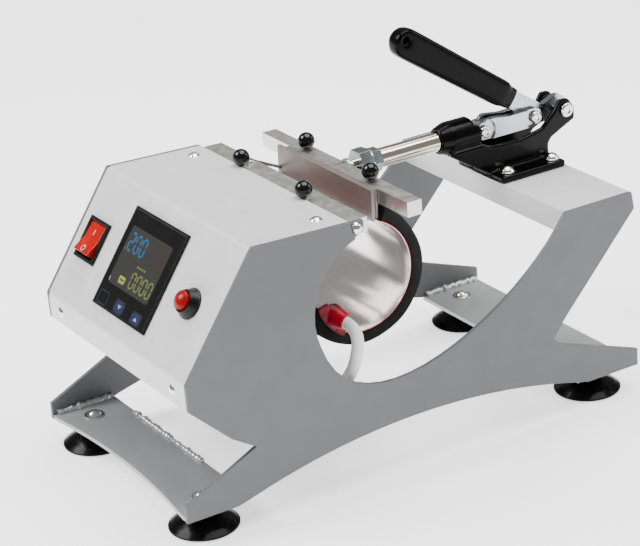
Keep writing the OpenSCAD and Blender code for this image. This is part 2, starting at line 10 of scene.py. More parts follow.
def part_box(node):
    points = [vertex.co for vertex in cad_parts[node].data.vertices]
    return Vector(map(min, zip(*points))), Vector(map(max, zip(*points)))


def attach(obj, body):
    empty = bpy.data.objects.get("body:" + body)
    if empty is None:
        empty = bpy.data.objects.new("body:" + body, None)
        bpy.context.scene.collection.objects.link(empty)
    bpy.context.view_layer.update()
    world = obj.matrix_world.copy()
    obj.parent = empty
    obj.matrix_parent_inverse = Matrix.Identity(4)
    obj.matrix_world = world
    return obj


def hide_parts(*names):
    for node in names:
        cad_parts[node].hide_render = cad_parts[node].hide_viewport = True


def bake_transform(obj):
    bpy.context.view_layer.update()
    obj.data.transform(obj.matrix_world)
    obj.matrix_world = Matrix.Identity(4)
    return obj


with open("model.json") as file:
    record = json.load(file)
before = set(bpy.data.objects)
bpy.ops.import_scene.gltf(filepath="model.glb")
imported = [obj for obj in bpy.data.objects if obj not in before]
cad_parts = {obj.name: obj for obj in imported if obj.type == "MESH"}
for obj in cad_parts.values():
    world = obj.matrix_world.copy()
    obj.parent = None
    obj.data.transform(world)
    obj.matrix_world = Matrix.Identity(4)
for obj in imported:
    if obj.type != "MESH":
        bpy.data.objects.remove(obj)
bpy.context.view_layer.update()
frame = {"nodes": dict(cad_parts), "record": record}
NODES = frame["nodes"]
BODY_OF = {n: b for b, ns in frame["record"]["behaviour"]["bodies"].items() for n in ns}
SLOT_OF = {s["node"]: s["material_slot"] for s in frame["record"]["subparts"]}
MM = 0.001

# ---------------------------------------------------------------- camera

# solved from the controller, the rocker switch and the side plates in the photograph
SENSOR_MM = 36.0
LENS_MM = 132.8
CAM_AT = Vector((1.3053, -0.7881, 0.7510))
CAM_RIGHT = Vector((0.52960, 0.84541, -0.06940))
CAM_UP = Vector((-0.29611, 0.26092, 0.91882))

cam_data = bpy.data.cameras.new("camera")
cam_data.sensor_width = SENSOR_MM
cam_data.lens = LENS_MM
cam_data.clip_start = 0.05
cam_data.clip_end = 50.0
camera = bpy.data.objects.new("camera", cam_data)
bpy.context.scene.collection.objects.link(camera)
cam_right = CAM_RIGHT.normalized()
cam_up = CAM_UP.normalized()
cam_back = cam_right.cross(cam_up).normalized()
camera.matrix_world = Matrix((
    (cam_right.x, cam_up.x, cam_back.x, CAM_AT.x),
    (cam_right.y, cam_up.y, cam_back.y, CAM_AT.y),
    (cam_right.z, cam_up.z, cam_back.z, CAM_AT.z),
    (0, 0, 0, 1)))
bpy.context.scene.camera = camera

# ---------------------------------------------------------------- materials


class Nodes:
    """A small builder for one material's node tree."""

    def __init__(self, name):
        self.mat = bpy.data.materials.new(name)
        self.mat.use_nodes = True
        self.tree = self.mat.node_tree
        self.tree.nodes.clear()
        out = self.add("ShaderNodeOutputMaterial")
        self.bsdf = self.add("ShaderNodeBsdfPrincipled")
        self.link(self.bsdf.outputs[0], out.inputs[0])
        self.coord = self.add("ShaderNodeTexCoord").outputs["Object"]
        self.normal = None

    def add(self, kind, **values):
        n = self.tree.nodes.new(kind)
        for k, v in values.items():
            setattr(n, k, v)
        return n

    def link(self, a, b):
        self.tree.links.new(a, b)

    def scaled(self, sx, sy, sz):
        m = self.add("ShaderNodeMapping")
        m.inputs["Scale"].default_value = (sx, sy, sz)
        self.link(self.coord, m.inputs["Vector"])
        return m.outputs[0]

    def noise(self, scale, detail=4.0, rough=0.5, vector=None):
        n = self.add("ShaderNodeTexNoise")
        n.inputs["Scale"].default_value = scale
        n.inputs["Detail"].default_value = detail
        n.inputs["Roughness"].default_value = rough
        self.link(vector or self.coord, n.inputs["Vector"])
        return n.outputs["Fac"]

    def ramp(self, fac, stops):
        r = self.add("ShaderNodeValToRGB")
        while len(r.color_ramp.elements) < len(stops):
            r.color_ramp.elements.new(0.5)
        for e, (p, c) in zip(r.color_ramp.elements, stops):
            e.position = p
            e.color = (*c, 1) if len(c) == 3 else c
        self.link(fac, r.inputs[0])
        return r.outputs[0]

    def span(self, fac, lo, hi, in_lo=0.3, in_hi=0.7):
        m = self.add("ShaderNodeMapRange")
        m.inputs["From Min"].default_value = in_lo
        m.inputs["From Max"].default_value = in_hi
        m.inputs["To Min"].default_value = lo
        m.inputs["To Max"].default_value = hi
        self.link(fac, m.inputs["Value"])
        return m.outputs[0]

    def mix(self, fac, a, b):
        m = self.add("ShaderNodeMix", data_type="RGBA")
        for value, socket in ((fac, m.inputs[0]), (a, m.inputs[6]), (b, m.inputs[7])):
            if isinstance(value, tuple):
                socket.default_value = (*value, 1)
            elif isinstance(value, float):
                socket.default_value = value
            else:
                self.link(value, socket)
        return m.outputs[2]

    def bump(self, height, strength, distance):
        b = self.add("ShaderNodeBump")
        b.inputs["Strength"].default_value = strength
        b.inputs["Distance"].default_value = distance
        self.link(height, b.inputs["Height"])
        if self.normal is not None:
            self.link(self.normal, b.inputs["Normal"])
        self.normal = b.outputs[0]

    def set(self, **values):
        for k, v in values.items():
            s = self.bsdf.inputs[k.replace("_", " ")]
            if hasattr(v, "is_linked"):
                self.link(v, s)
            elif isinstance(v, tuple):
                s.default_value = (*v, 1)
            else:
                s.default_value = v

    def done(self):
        if self.normal is not None:
            self.link(self.normal, self.bsdf.inputs["Normal"])
        return self.mat


def shade(c, k):
    """The colour c made k times as bright."""
    return tuple(min(1.0, x * k) for x in c)


def paint(name, color, rough, metal, spread):
    """Powder coat: soft mottling, fine orange peel and metallic flake."""
    m = Nodes(name)
    cloud = m.noise(9.0, 5.0, 0.55)
    flake = m.noise(2600.0, 2.0, 0.6)
    tone = m.ramp(cloud, [(0.25, shade(color, 1 - spread)), (0.75, shade(color, 1 + spread))])
    tone = m.mix(m.span(flake, 0.0, 0.16, 0.45, 0.75), tone, shade(color, 1.25))
    m.set(Base_Color=tone, Metallic=metal)
    m.set(Roughness=m.span(m.noise(60.0, 6.0), rough - 0.06, rough + 0.07))
    m.bump(m.noise(700.0, 3.0), 0.10, 0.0003)
    return m.done()


def brushed(name, color, rough, tint, metal=1.0):
    """Metal with fine lines drawn along X and a few soft smudges."""
    m = Nodes(name)
    grain = m.noise(1.0, 5.0, 0.7, m.scaled(3, 700, 700))
    cloud = m.noise(14.0, 3.0, 0.5)
    a = m.ramp(grain, [(0.25, shade(color, 0.93)), (0.75, shade(color, 1.05))])
    a = m.mix(m.span(cloud, 0.0, 0.25, 0.45, 0.75), a, tint)
    m.set(Base_Color=a, Metallic=metal)
    m.set(Roughness=m.span(m.noise(40.0, 4.0), rough - 0.04, rough + 0.06))
    m.bump(grain, 0.10, 0.0001)
    return m.done()


def plated(name, color, rough, tint, spots=0.3):
    """Zinc or chrome plate with smudges and a light tint."""
    m = Nodes(name)
    cloud = m.noise(45.0, 6.0, 0.65)
    spangle = m.add("ShaderNodeTexVoronoi", feature="F1")
    spangle.inputs["Scale"].default_value = 420.0
    m.link(m.coord, spangle.inputs["Vector"])
    a = m.mix(m.span(cloud, 0.0, 1.0), color, tint)
    a = m.mix(m.span(spangle.outputs["Distance"], 0.0, spots, 0.0, 1.0), a, shade(color, 0.75))
    m.set(Base_Color=a, Metallic=1.0)
    m.set(Roughness=m.span(m.noise(160.0, 5.0), rough - 0.04, rough + 0.08))
    m.bump(m.noise(300.0, 4.0), 0.05, 0.0003)
    return m.done()


def rubber(name, color, rough, grain, depth, spec=0.35):
    """Matt rubber, silicone, foam or plastic with a fine grain."""
    m = Nodes(name)
    cloud = m.noise(30.0, 5.0)
    m.set(Base_Color=m.ramp(cloud, [(0.3, shade(color, 0.8)), (0.7, shade(color, 1.35))]))
    m.set(Roughness=m.span(m.noise(90.0, 6.0), rough - 0.1, rough + 0.1))
    m.bsdf.inputs["Specular IOR Level"].default_value = spec
    m.bump(m.noise(grain, 4.0, 0.6), depth, 0.0003)
    return m.done()


def gloss(name, color, rough, spread=0.15, coat=0.4, spec=0.35):
    """Lacquer or moulded plastic with a shine."""
    m = Nodes(name)
    cloud = m.noise(60.0, 4.0)
    tone = m.ramp(cloud, [(0.3, shade(color, 1 - spread)), (0.7, shade(color, 1 + spread))])
    m.set(Base_Color=tone)
    m.set(Roughness=m.span(m.noise(220.0, 6.0), rough - 0.04, rough + 0.08))
    m.bsdf.inputs["Coat Weight"].default_value = coat
    m.bsdf.inputs["Coat Roughness"].default_value = 0.06
    m.bsdf.inputs["Specular IOR Level"].default_value = spec
    m.bump(m.noise(350.0, 3.0), 0.02, 0.0003)
    return m.done()


def glow(name, color, strength):
    """Lit segment behind the window: uneven light. The printed keys use it as well, where the glow
    is painted light.
    """
    m = Nodes(name)
    uneven = m.noise(500.0, 3.0)
    lit = m.ramp(uneven, [(0.3, shade(color, 0.65)), (0.7, color)])
    m.set(Base_Color=(0.01, 0.01, 0.01), Roughness=0.2)
    m.link(lit, m.bsdf.inputs["Emission Color"])
    m.bsdf.inputs["Emission Strength"].default_value = strength
    return m.done()


def braided(name, color):
    """Woven sleeve: two sets of fine diagonal ribs, with painted shade in the grooves between them.
    """
    m = Nodes(name)
    uv = m.add("ShaderNodeUVMap").outputs[0]
    heights = []
    for turn in (0.9, -0.9):
        mp = m.add("ShaderNodeMapping")
        mp.inputs["Rotation"].default_value = (0, 0, turn)
        m.link(uv, mp.inputs["Vector"])
        w = m.add("ShaderNodeTexWave", wave_type="BANDS", bands_direction="X")
        w.inputs["Scale"].default_value = 9.0
        w.inputs["Distortion"].default_value = 0.6
        m.link(mp.outputs[0], w.inputs["Vector"])
        heights.append(w.outputs["Fac"])
    top = m.add("ShaderNodeMath", operation="MAXIMUM")
    m.link(heights[0], top.inputs[0])
    m.link(heights[1], top.inputs[1])
    # painted shade: the grooves between the ribs are darker than the white yarn
    tone = m.ramp(top.outputs[0], [(0.35, shade(color, 0.82)), (0.9, color)])
    m.set(Base_Color=tone, Roughness=0.62)
    m.bump(top.outputs[0], 0.5, 0.0004)
    return m.done()


def boot_rubber_with_painted_shade(name, painted_shade_colour, bright, x0, x1):
    """Silicone with painted shade: dark at the heater end, x0, where the boot lies in shadow, and
    its own bright red at the sleeve, x1.
    """
    m = Nodes(name)
    split = m.add("ShaderNodeSeparateXYZ")
    m.link(m.coord, split.inputs[0])
    along = m.span(split.outputs[0], 0.0, 1.0, x0, x1)
    mottled = m.mix(m.span(m.noise(120.0, 4.0), 0.0, 0.35), bright, shade(bright, 0.6))
    m.set(Base_Color=m.mix(along, painted_shade_colour, mottled))
    m.set(Roughness=m.span(m.noise(90.0, 6.0), 0.24, 0.40))
    m.bsdf.inputs["Specular IOR Level"].default_value = 0.2
    m.bump(m.noise(600.0, 4.0, 0.6), 0.1, 0.0003)
    return m.done()


MATS = {
    # frame_paint and cover_paint are shaded and lit copies of one silver paint: frame_paint is a
    # much darker copy, painted shade for the side plates
    "frame_paint": paint("frame_paint", (0.098, 0.101, 0.107), 0.50, 0.10, 0.08),
    "cover_paint": paint("cover_paint", (0.66, 0.66, 0.655), 0.40, 0.25, 0.03),
    "zinc": plated("zinc", (0.72, 0.72, 0.68), 0.36, (0.62, 0.61, 0.56)),
    "screw_steel": plated("screw_steel", (0.86, 0.86, 0.84), 0.10, (0.74, 0.73, 0.68), 0.08),
    "flange_steel": brushed("flange_steel", (0.23, 0.203, 0.185), 0.50, (0.19, 0.162, 0.145), 0.75),
    "liner_steel": brushed("liner_steel", (0.88, 0.83, 0.82), 0.16, (0.78, 0.70, 0.69)),
    "red_silicone": rubber("red_silicone", (0.26, 0.0006, 0.010), 0.4, 600.0, 0.12, 0.15),
    "black_foam": rubber("black_foam", (0.012, 0.012, 0.012), 0.85, 1800.0, 0.5, 0.15),
    "lead_white": braided("lead_white", (0.97, 0.97, 0.96)),
    "black_rubber": gloss("black_rubber", (0.001, 0.001, 0.001), 0.24, 0.3, 0.04, 0.06),
    "ball_black": gloss("ball_black", (0.002, 0.002, 0.002), 0.05, 0.1, 0.2, 0.25),
    "chrome": plated("chrome", (0.74, 0.69, 0.58), 0.07, (0.62, 0.56, 0.44), 0.05),
    "cast_black": gloss("cast_black", (0.001, 0.001, 0.001), 0.24, 0.3, 0.07, 0.09),
    "link_steel": plated("link_steel", (0.46, 0.50, 0.52), 0.20, (0.34, 0.38, 0.40), 0.25),
    "panel_black": gloss("panel_black", (0.004, 0.004, 0.004), 0.30, 0.2, 0.0, 0.2),
    "screen_black": gloss("screen_black", (0.003, 0.003, 0.003), 0.16, 0.2, 0.0, 0.25),
    "body_black": rubber("body_black", (0.012, 0.012, 0.012), 0.6, 700.0, 0.1),
    "switch_red": gloss("switch_red", (0.33, 0.0004, 0.0002), 0.14, 0.35, 0.15, 0.15),
    "button_red": gloss("button_red", (0.26, 0.0005, 0.001), 0.25, 0.15, 0.1, 0.15),
    "board_green": gloss("board_green", (0.02, 0.12, 0.04), 0.4),
}
boot_lo, boot_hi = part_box("lead_boot")
# painted shade: the boot darkens towards its heater end, where it lies in shadow
BOOT = boot_rubber_with_painted_shade("boot_silicone", (0.05, 0.0004, 0.002), (0.40, 0.0008, 0.018),
                   boot_lo.x + 1.5 * MM, boot_lo.x + 0.6 * (boot_hi.x - boot_lo.x))
# painted light: the flat cross plates get a lighter copy of the frame's one silver paint where they
# catch the top light, and the side plates' cut edges a lighter paint as painted highlight
PLATE_LIT_PAINT = paint("plate_lit_paint", (0.34, 0.345, 0.35), 0.40, 0.35, 0.10)
EDGE_HIGHLIGHT_PAINT = paint("edge_highlight_paint", (0.52, 0.52, 0.525), 0.30, 0.5, 0.15)
WELD = paint("weld_coat", (0.55, 0.55, 0.555), 0.28, 0.6, 0.15)
MARK = gloss("rocker_mark", (0.62, 0.30, 0.24), 0.3)
for node, obj in NODES.items():
    obj.data.materials.clear()
    obj.data.materials.append(MATS[SLOT_OF[node]])

# ---------------------------------------------------------------- mesh helpers

SHEET_FOLD_MIN = 150 * MM       # shortest edge that counts as a fold of the bent cover
BRAID_REPEAT = 28 * MM          # length of lead that one turn of the braid's UV covers


def new_object(name, mesh, material, body):
    """A visible piece that rides on body, or on none yet, and carries a material slot."""
    obj = bpy.data.objects.new(name, mesh)
    bpy.context.scene.collection.objects.link(obj)
    obj.data.materials.clear()
    obj.data.materials.append(material)
    if body:
        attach(obj, body)
    return obj


def smooth(mesh, angle):
    """Smooth shading, except across edges sharper than angle degrees."""
    mesh.shade_smooth()
    mesh.set_sharp_from_angle(angle=math.radians(angle))


def soften(node, radius_mm, segments=2, sharp=30.0, bend_mm=0.0, material=None, rim=None):
    """A copy of a CAD node with its sharp edges rounded, shown in the node's place.

    sharp is the angle in degrees above which an edge is rounded. bend_mm rounds the folds of
    a bent sheet, which run along X, with a larger radius. rim is a second material, for a
    sheet's cut edges: the faces that don't look along X; a lighter paint there is a painted
    highlight.
    """
    mesh = NODES[node].data.copy()
    mesh.name = node + "_soft"
    bm = bmesh.new()
    bm.from_mesh(mesh)
    bmesh.ops.remove_doubles(bm, verts=bm.verts, dist=1e-6)
    bmesh.ops.dissolve_limit(bm, angle_limit=math.radians(0.4), verts=bm.verts, edges=bm.edges)
    if bend_mm:
        folds = [e for e in bm.edges
                 if len(e.link_faces) == 2 and e.calc_length() > SHEET_FOLD_MIN
                 and math.radians(12) < e.calc_face_angle(0.0) < math.radians(80)
                 and abs((e.verts[0].co - e.verts[1].co).normalized().x) > 0.99]
        bmesh.ops.bevel(bm, geom=folds, offset=bend_mm * MM, segments=6, profile=0.5,
                        affect="EDGES", clamp_overlap=True)
    edges = [e for e in bm.edges
             if len(e.link_faces) == 2 and e.calc_face_angle(0.0) > math.radians(sharp)]
    if edges:
        bmesh.ops.bevel(bm, geom=edges, offset=radius_mm * MM, segments=segments,
                        profile=0.6, affect="EDGES", clamp_overlap=True)
    # painted highlight: the cut edges take the second, lighter material
    if rim:
        bm.normal_update()
        for f in bm.faces:
            if abs(f.normal.x) < 0.9:
                f.material_index = 1
    bm.to_mesh(mesh)
    bm.free()
    smooth(mesh, 40.0)
    slot = SLOT_OF[node]
    obj = new_object(node + "_soft", mesh, material or MATS[slot], BODY_OF[node])
    if rim:
        obj.data.materials.append(rim)
    weighted = obj.modifiers.new("weighted", "WEIGHTED_NORMAL")
    weighted.keep_sharp = True
    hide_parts(node)


def mould(node, voxel_mm, rounds, material=None):
    """A copy of a CAD node with every edge and corner flowing, as cast or moulded.

    voxel_mm is the mesh's cell, and rounds is how often its vertices are smoothed.
    """
    slot = SLOT_OF[node]
    raw = bpy.data.objects.new("raw", NODES[node].data.copy())
    bpy.context.scene.collection.objects.link(raw)
    remesh = raw.modifiers.new("remesh", "REMESH")
    remesh.mode = "VOXEL"
    remesh.voxel_size = voxel_mm * MM
    bpy.context.view_layer.update()
    mesh = bpy.data.meshes.new_from_object(raw.evaluated_get(bpy.context.evaluated_depsgraph_get()))
    mesh.name = node + "_moulded"
    bpy.data.objects.remove(raw)
    bm = bmesh.new()
    bm.from_mesh(mesh)
    for _ in range(rounds):
        bmesh.ops.smooth_vert(bm, verts=bm.verts, factor=0.5, use_axis_x=True, use_axis_y=True,
                              use_axis_z=True)
    bm.to_mesh(mesh)
    bm.free()
    mesh.shade_smooth()
    obj = new_object(node + "_moulded", mesh, material or MATS[slot], BODY_OF[node])
    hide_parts(node)


def circle(count, radius):
    """Points around a circle, as (u, v)."""
    return [(radius * math.cos(math.tau * k / count), radius * math.sin(math.tau * k / count))
            for k in range(count)]


def mesh_of(name, bm, sharp=None):
    """The finished mesh of bm, with outward faces, smooth below the angle sharp if given."""
    bmesh.ops.recalc_face_normals(bm, faces=bm.faces)
    mesh = bpy.data.meshes.new(name)
    bm.to_mesh(mesh)
    bm.free()
    if sharp:
        smooth(mesh, sharp)
    return mesh


def sweep(name, points, section, material, body):
    """A closed tube whose section(i) gives a ring of (u, v) offsets along a path of points."""
    bm = bmesh.new()
    uvs = bm.loops.layers.uv.new("UVMap")
    rings = []
    count = len(points)
    ref = Vector((0.3, 0.9, 0.3)).normalized()
    for i, p in enumerate(points):
        t = (points[min(i + 1, count - 1)] - points[max(i - 1, 0)]).normalized()
        u = t.cross(ref).normalized()
        v = t.cross(u)
        rings.append([bm.verts.new(p + a * u + b * v) for a, b in section(i)])
    n = len(rings[0])
    run = 0.0
    for i in range(count - 1):
        step = (points[i + 1] - points[i]).length
        for j in range(n):
            k = (j + 1) % n
            f = bm.faces.new((rings[i][j], rings[i][k], rings[i + 1][k], rings[i + 1][j]))
            coords = ((j, run), (j + 1, run), (j + 1, run + step), (j, run + step))
            for loop, (a, b) in zip(f.loops, coords):
                loop[uvs].uv = (a / n, b / BRAID_REPEAT)
        run += step
    bm.faces.new(list(reversed(rings[0])))
    bm.faces.new(rings[-1])
    return new_object(name, mesh_of(name, bm, 50.0), material, body)


def bezier(p, t):
    """The point at t, from 0 to 1, on the cubic curve with control points p."""
    q = 1 - t
    return q ** 3 * p[0] + 3 * t * q * q * p[1] + 3 * t * t * q * p[2] + t ** 3 * p[3]


# ---------------------------------------------------------------- softened CAD pieces

# edge radius of each piece in mm
SOFT = {
    "clamp_table": 1.6, "front_bar": 0.7, "rear_bar": 0.8, "front_flange": 0.5,
    "rear_flange": 0.4, "link_plates": 0.5, "handle_plate": 0.6, "controller_bezel": 0.4,
    "switch_housing": 0.5, "switch_rocker": 0.8, "button_housing": 0.4, "power_inlet": 0.8,
    "plunger": 0.6, "clamp_bolts": 0.25, "body_pin": 0.4, "link_pin": 0.5,
    "plunger_pin": 0.5, "lead_gland": 0.8, "controller_body": 0.6,
}
LARGE_RADIUS_MM = 1.2           # from here on an edge gets more segments
for node, radius in SOFT.items():
    soften(node, radius, 4 if radius >= LARGE_RADIUS_MM else 2)
# painted light: the cross plates take a lighter copy of the frame's paint, and the side plates' cut
# edges a lighter paint as painted highlight
for node in ("front_cross_plate", "rear_cross_plate"):
    soften(node, 0.5, material=PLATE_LIT_PAINT)
for node in ("left_side_plate", "right_side_plate"):
    soften(node, 0.6, rim=EDGE_HIGHLIGHT_PAINT)
# painted shade: the brackets take the frame's darkened copy of the silver paint
soften("bar_brackets", 0.4, material=MATS["frame_paint"])
soften("plunger_nuts", 0.5, material=MATS["link_steel"])
soften("box_cover", 0.4, sharp=80.0, bend_mm=2.6)
mould("handle_grip", 1.0, 48)
mould("clamp_body", 0.8, 7)

# ---------------------------------------------------------------- heater band

R_IN = 38.9 * MM                # bore radius of the closed heater
LINER_WALL = 1.0 * MM           # of the CAD liner, which finds the heater's axis
BAND_STEP_DEG = 3               # between the band's rings
BAND_COLUMNS = 12               # across the flat middle of the band
liner_lo, liner_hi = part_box("heater_liner_front")
AXIS = Vector((0, liner_lo.y + R_IN + LINER_WALL, liner_lo.z + R_IN + LINER_WALL))
HALF = liner_hi.x


def band(name, r0, r1, a0, a1, half, material, slot, body, nodes, wobble, edge):
    """Curved band about the heater axis, from angle a0 to a1, with rounded rims.

    Angles are in degrees from the clamp side, upward. The outer face sinks unevenly by about
    wobble. With no body, the band is baked in place and rides on no body.
    """
    bm = bmesh.new()
    uvs = bm.loops.layers.uv.new("UVMap")
    steps = max(6, int((a1 - a0) / BAND_STEP_DEG))
    e = min(edge, (r1 - r0) / 2.2)
    across = [-half, -half + e * 0.4, -half + e * 1.4]
    across += [-half + e * 1.4 + (2 * half - 2.8 * e) * i / BAND_COLUMNS
               for i in range(1, BAND_COLUMNS)]
    across += [half - e * 1.4, half - e * 0.4, half]
    inset = [e, e * 0.3, 0] + [0] * (BAND_COLUMNS - 1) + [0, e * 0.3, e]
    ring = [(x, r0 + q) for x, q in zip(across, inset)]
    ring += [(x, r1 - q) for x, q in zip(reversed(across), reversed(inset))]
    rings = []
    for i in range(steps + 1):
        a = math.radians(a0 + (a1 - a0) * i / steps)
        row = []
        for x, r in ring:
            w = 0.0
            if wobble and r > (r0 + r1) / 2:
                w = wobble * (noise.noise(Vector((x * 30, a * 2.2, r1 * 50))) - 0.3)
            rr = r + min(w, 0.0)
            row.append(bm.verts.new((x, AXIS.y + rr * math.cos(a), AXIS.z + rr * math.sin(a))))
        rings.append(row)
    n = len(ring)
    for i in range(steps):
        for j in range(n):
            k = (j + 1) % n
            f = bm.faces.new((rings[i][j], rings[i][k], rings[i + 1][k], rings[i + 1][j]))
            for loop, (p, q) in zip(f.loops, ((j, i), (k, i), (k, i + 1), (j, i + 1))):
                loop[uvs].uv = (p / n, q / steps)
    bm.faces.new(list(reversed(rings[0])))
    bm.faces.new(rings[-1])
    obj = new_object(name, mesh_of(name, bm, 40.0), material, body)
    if not body:
        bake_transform(obj)
    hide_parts(*nodes)


# inner and outer face above the bore in mm, first and last angle, inset of the rims in mm,
# rounding of the rims in mm, slot and unevenness in mm
LAYERS = [
    ("liner", 0.0, 0.4, 77.3, 425.1, 1.9, 0.15, "liner_steel", 0.0),
    ("mat", 0.42, 1.3, 86.0, 422.7, 2.0, 0.3, "red_silicone", 0.0),
    ("foam", 1.32, 10.5, 122.0, 423.8, 1.0, 2.0, "black_foam", 1.0),
]
FLEX_START_DEG = 180.0
for name, q0, q1, a0, a1, inset, edge, slot, wobble in LAYERS:
    args = dict(half=HALF - inset * MM, material=MATS[slot], slot=slot, edge=edge * MM,
                wobble=wobble * MM)
    band("heater_%s_fixed" % name, R_IN + q0 * MM, R_IN + q1 * MM, a0, FLEX_START_DEG,
         body="frame", nodes=["heater_%s_front" % name], **args)
    band("heater_%s_flexing" % name, R_IN + q0 * MM, R_IN + q1 * MM, FLEX_START_DEG, a1,
         body=None, nodes=["heater_%s_rear" % name], **args)

# ---------------------------------------------------------------- heater lead and boot

FRONT_TO_MIDDLE = 184.5 * MM    # from the front cross plate's edge to the middle of the feet
front_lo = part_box("front_cross_plate")[0]
PLATES = Vector((0, front_lo.y + FRONT_TO_MIDDLE, front_lo.z))


def plates_mm(p):
    """A point given in mm from the middle of the side plates' feet."""
    return PLATES + Vector(p) * MM


# three cubic curves: from the boot, behind the side plate, to the gland
LEAD = [
    [[63.5, -42.4, 92.6], [76, -37.7, 89], [90, -37.5, 90], [89, -43.8, 69.8]],
    [[89, -43.8, 69.8], [88.4, -47.6, 57.7], [84, -58, 44], [66, -66, 44]],
    [[66, -66, 44], [50, -73, 44], [20, -50, 66], [20, -88, 66]],
]
LEAD_STEPS = 14                 # along each curve
LEAD_R = 4.3 * MM
route = [plates_mm(LEAD[0][0])]
for part in LEAD:
    pts = [plates_mm(p) for p in part]
    route += [bezier(pts, i / LEAD_STEPS) for i in range(1, LEAD_STEPS + 1)]
lead = sweep("heater_lead_sleeve", route, lambda i: circle(24, LEAD_R),
             MATS["lead_white"], "frame")
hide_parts("heater_lead")
mould("lead_boot", 0.6, 8, BOOT)

# ---------------------------------------------------------------- welds

SIDE_BEAD = 3.6 * MM            # bead radius along the side plates
EDGE_BEAD = 2.6 * MM            # bead radius along the front cross plate's back edge
WELD_STEP = 0.6 * MM            # between the bead's rings


def weld(name, start, end, radius, wall=1.0):
    """A rippled bead along an inside corner, kept within x = -wall to wall metres."""
    a, b = Vector(start), Vector(end)
    count = max(8, int((b - a).length / WELD_STEP))
    pts = [a.lerp(b, i / count) for i in range(count + 1)]

    def section(i):
        rough = noise.noise(Vector((i * 0.16, 3.1, a.x * 40)))
        return circle(12, radius * (0.84 + 0.10 * math.sin(i * 0.8) + 0.55 * rough))

    obj = sweep(name, pts, section, WELD, "frame")
    for v in obj.data.vertices:
        v.co.x = min(max(v.co.x, -wall), wall)


for node in ("front_cross_plate", "rear_cross_plate"):
    lo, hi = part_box(node)
    for side, x in (("left", lo.x + 0.7 * MM), ("right", hi.x - 0.7 * MM)):
        weld("weld_%s_%s" % (node.split("_")[0], side), (x, lo.y + 3 * MM, hi.z + 0.4 * MM),
             (x, hi.y - 2 * MM, hi.z + 0.4 * MM), SIDE_BEAD, hi.x + 0.8 * MM)
lo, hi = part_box("front_cross_plate")
weld("weld_front_edge", (lo.x + 34 * MM, hi.y - 1.2 * MM, hi.z - 0.2 * MM),
     (hi.x - 62 * MM, hi.y - 1.2 * MM, hi.z - 0.2 * MM), EDGE_BEAD)

# ---------------------------------------------------------------- display

TILT = math.radians(54.86)      # of the panel from the ground
PX = Vector((1, 0, 0))          # across the panel, up along it and out of it
PS = Vector((0, math.cos(TILT), math.sin(TILT)))
PN = Vector((0, -math.sin(TILT), math.cos(TILT)))
UNIT = 72 * MM                  # side of the controller's square front
face_lo, face_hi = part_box("controller_face")
CENTRE = (face_lo + face_hi) / 2
face_front = max(PN.dot(v.co) for v in NODES["controller_face"].data.vertices)
CENTRE += PN * (face_front - PN.dot(CENTRE))


def on_face(u, v, n):
    """A point n mm above the controller's front: u across and v up, both from 0 to 1."""
    return CENTRE + PX * ((u - 0.5) * UNIT) + PS * ((v - 0.5) * UNIT) + PN * (n * MM)


def flat_shapes(name, shapes, material, n0, n1):
    """Thin shapes raised from n0 to n1 mm, each a list of (u, v) corners."""
    bm = bmesh.new()
    for corners in shapes:
        low = [bm.verts.new(on_face(u, v, n0)) for u, v in corners]
        top = [bm.verts.new(on_face(u, v, n1)) for u, v in corners]
        bm.faces.new(top)
        bm.faces.new(list(reversed(low)))
        k = len(corners)
        for i in range(k):
            j = (i + 1) % k
            bm.faces.new((low[i], low[j], top[j], top[i]))
    new_object(name, mesh_of(name, bm), material, "frame")


SEGMENTS = {"0": "abcdef", "2": "abged", "8": "abcdefg"}


def digit(ch, u, v, w, h, t):
    """Seven-segment digit of width w, height h and stroke t, lower left corner at (u, v).

    The segments have mitred ends with a small gap between them.
    """
    gap, k = t * 0.18, t / 2
    m = v + h / 2
    bars = {
        "a": ("h", u, v + h), "g": ("h", u, m), "d": ("h", u, v),
        "f": ("v", u, m), "b": ("v", u + w, m), "e": ("v", u, v), "c": ("v", u + w, v),
    }
    out = []
    for name in SEGMENTS[ch]:
        kind, x, y = bars[name]
        if kind == "h":
            x0, x1 = x + gap, x + w - gap
            out.append([(x0, y), (x0 + k, y - k), (x1 - k, y - k),
                        (x1, y), (x1 - k, y + k), (x0 + k, y + k)])
        else:
            y0, y1 = y + gap, y + h / 2 - gap
            out.append([(x, y0), (x + k, y0 + k), (x + k, y1 - k),
                        (x, y1), (x - k, y1 - k), (x - k, y0 + k)])
    return out


def number(text, u, v, pitch, w, h, t):
    """The segments of a row of digits, pitch apart."""
    out = []
    for i, ch in enumerate(text):
        out += digit(ch, u + pitch * i, v, w, h, t)
    return out


def rect(u0, v0, u1, v1, c=0.0):
    """The corners of a rectangle, rounded by the radius c."""
    if not c:
        return [(u0, v0), (u1, v0), (u1, v1), (u0, v1)]
    pts = []
    for cu, cv, a0 in ((u1 - c, v0 + c, -90), (u1 - c, v1 - c, 0),
                       (u0 + c, v1 - c, 90), (u0 + c, v0 + c, 180)):
        for k in range(4):
            a = math.radians(a0 + 30 * k)
            pts.append((cu + c * math.cos(a), cv + c * math.sin(a)))
    return pts


def outline(u0, v0, u1, v1, c, t):
    """A rounded frame of width t, as quads."""
    a = rect(u0, v0, u1, v1, c)
    b = rect(u0 + t, v0 + t, u1 - t, v1 - t, max(c - t, 0.004))
    return [[a[i], a[(i + 1) % len(a)], b[(i + 1) % len(b)], b[i]] for i in range(len(a))]


BLUE = glow("digit_blue", (0.02, 0.20, 0.46), 0.8)
GREEN = glow("digit_green", (0.33, 0.42, 0.09), 0.65)
LIME = glow("icon_lime", (0.55, 0.65, 0.08), 0.9)
RED_DIM = glow("window_red", (0.16, 0.05, 0.05), 0.35)
OLIVE = glow("window_olive", (0.055, 0.055, 0.042), 0.5)
